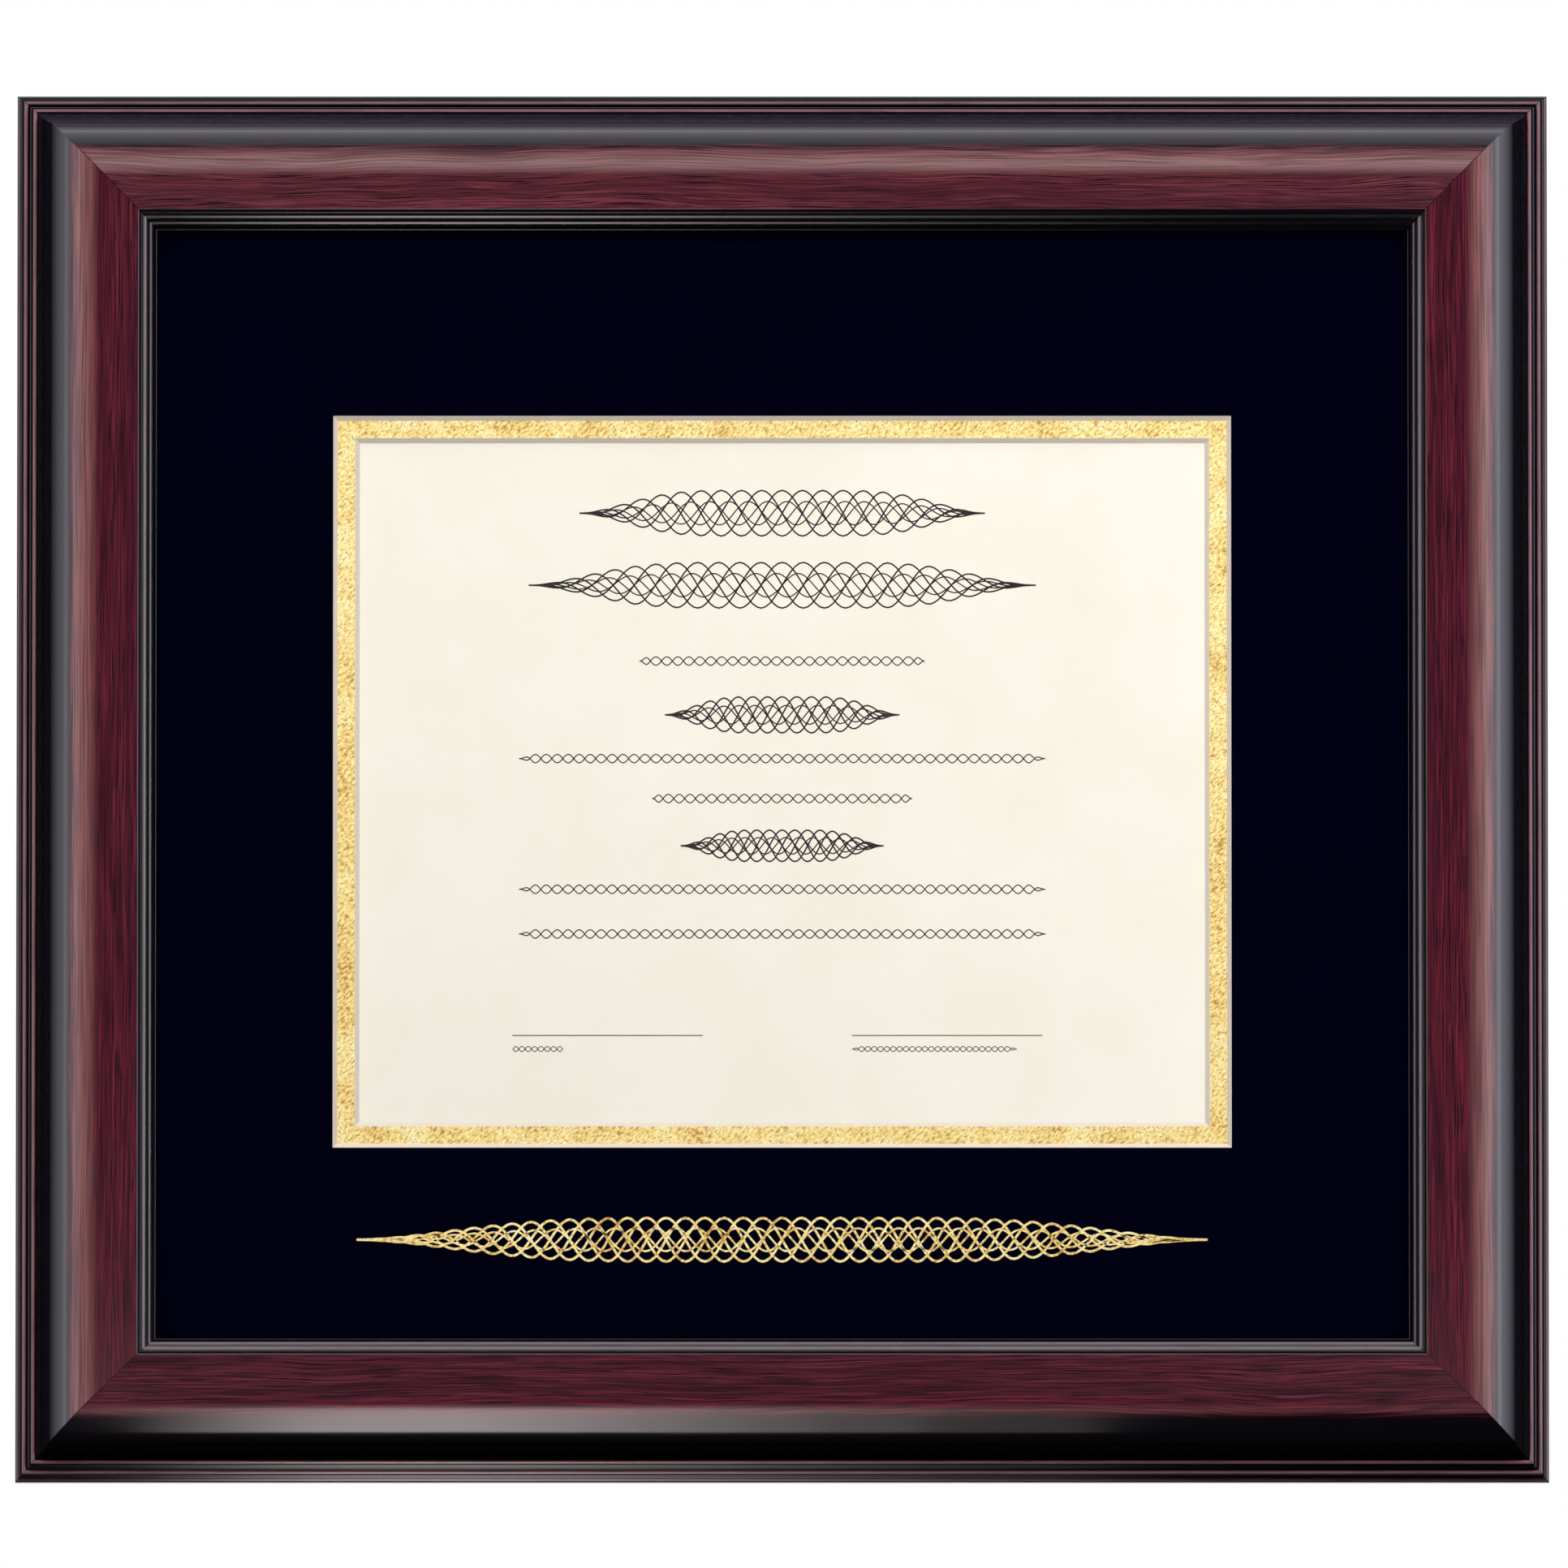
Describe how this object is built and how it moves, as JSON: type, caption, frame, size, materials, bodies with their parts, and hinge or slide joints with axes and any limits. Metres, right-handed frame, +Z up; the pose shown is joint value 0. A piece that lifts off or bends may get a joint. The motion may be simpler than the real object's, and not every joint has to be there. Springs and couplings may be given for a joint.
{
  "type": "certificate frame",
  "caption": "Wall certificate frame: mitred mahogany moulding with dark reeded edge, glass, bevelled mats round a sheet, turn-button backing, swinging ring hangers and bumpers.",
  "frame": {"origin": "centre of the whole frame's box: mid width, mid height, mid depth from crown to bumpers", "axes": "+X right as seen from the front, +Z up, +Y back towards the wall, so the glass faces -Y"},
  "size_m": [0.483, 0.0315, 0.4404],
  "materials": {
    "moulding_wood": "satin mahogany stain shaded to black at both edges",
    "clear_glass": "clear polished pane",
    "outer_mat_board": "matt midnight blue face paper on a white core",
    "inner_mat_board": "crinkled gold leaf face on a white core",
    "certificate_paper": "ivory laid paper with black print",
    "pocket_film": "clear folded film",
    "mounting_board_card": "white faced foam board",
    "backing_hardboard": "brown hardboard",
    "zinc_steel": "zinc plated",
    "plated_hanger": "nickel plated",
    "bumper_rubber": "soft black"
  },
  "bodies": {
    "frame": {"rail_top": "moulding_wood", "rail_bottom": "moulding_wood", "rail_left": "moulding_wood", "rail_right": "moulding_wood", "v_nails": "zinc_steel", "glass": "clear_glass", "outer_mat": "outer_mat_board", "inner_mat": "inner_mat_board", "certificate": "certificate_paper", "corner_pockets": "pocket_film", "mounting_board": "mounting_board_card", "backing_board": "backing_hardboard", "turn_button_screws": "zinc_steel", "hanger_strap_left": "plated_hanger", "hanger_strap_right": "plated_hanger", "hanger_screws": "plated_hanger", "bumper_left": "bumper_rubber", "bumper_right": "bumper_rubber"},
    "turn_button_top_left": {"turn_button_top_left": "zinc_steel"},
    "turn_button_bottom_left": {"turn_button_bottom_left": "zinc_steel"},
    "turn_button_left_upper": {"turn_button_left_upper": "zinc_steel"},
    "turn_button_left_lower": {"turn_button_left_lower": "zinc_steel"},
    "turn_button_top_right": {"turn_button_top_right": "zinc_steel"},
    "turn_button_bottom_right": {"turn_button_bottom_right": "zinc_steel"},
    "turn_button_right_upper": {"turn_button_right_upper": "zinc_steel"},
    "turn_button_right_lower": {"turn_button_right_lower": "zinc_steel"},
    "hanger_ring_left": {"hanger_ring_left": "plated_hanger"},
    "hanger_ring_right": {"hanger_ring_right": "plated_hanger"}
  },
  "joints": [
    {"name": "turn_top_left", "type": "hinge", "parent": "frame", "child": "turn_button_top_left", "pos_m": [-0.115, 0.01025, 0.19], "axis": [0, 1, 0], "continuous": true},
    {"name": "turn_bottom_left", "type": "hinge", "parent": "frame", "child": "turn_button_bottom_left", "pos_m": [-0.115, 0.01025, -0.19], "axis": [0, 1, 0], "continuous": true},
    {"name": "turn_left_upper", "type": "hinge", "parent": "frame", "child": "turn_button_left_upper", "pos_m": [-0.2113, 0.01025, 0.0662], "axis": [0, 1, 0], "continuous": true},
    {"name": "turn_left_lower", "type": "hinge", "parent": "frame", "child": "turn_button_left_lower", "pos_m": [-0.2113, 0.01025, -0.0662], "axis": [0, 1, 0], "continuous": true},
    {"name": "turn_top_right", "type": "hinge", "parent": "frame", "child": "turn_button_top_right", "pos_m": [0.115, 0.01025, 0.19], "axis": [0, 1, 0], "continuous": true},
    {"name": "turn_bottom_right", "type": "hinge", "parent": "frame", "child": "turn_button_bottom_right", "pos_m": [0.115, 0.01025, -0.19], "axis": [0, 1, 0], "continuous": true},
    {"name": "turn_right_upper", "type": "hinge", "parent": "frame", "child": "turn_button_right_upper", "pos_m": [0.2113, 0.01025, 0.0662], "axis": [0, 1, 0], "continuous": true},
    {"name": "turn_right_lower", "type": "hinge", "parent": "frame", "child": "turn_button_right_lower", "pos_m": [0.2113, 0.01025, -0.0662], "axis": [0, 1, 0], "continuous": true},
    {"name": "swing_ring_left", "type": "hinge", "parent": "frame", "child": "hanger_ring_left", "pos_m": [-0.2225, 0.0126, 0.1412], "axis": [-1, 0, 0], "range_deg": [0, 175]},
    {"name": "swing_ring_right", "type": "hinge", "parent": "frame", "child": "hanger_ring_right", "pos_m": [0.2225, 0.0126, 0.1412], "axis": [-1, 0, 0], "range_deg": [0, 175]}
  ]
}
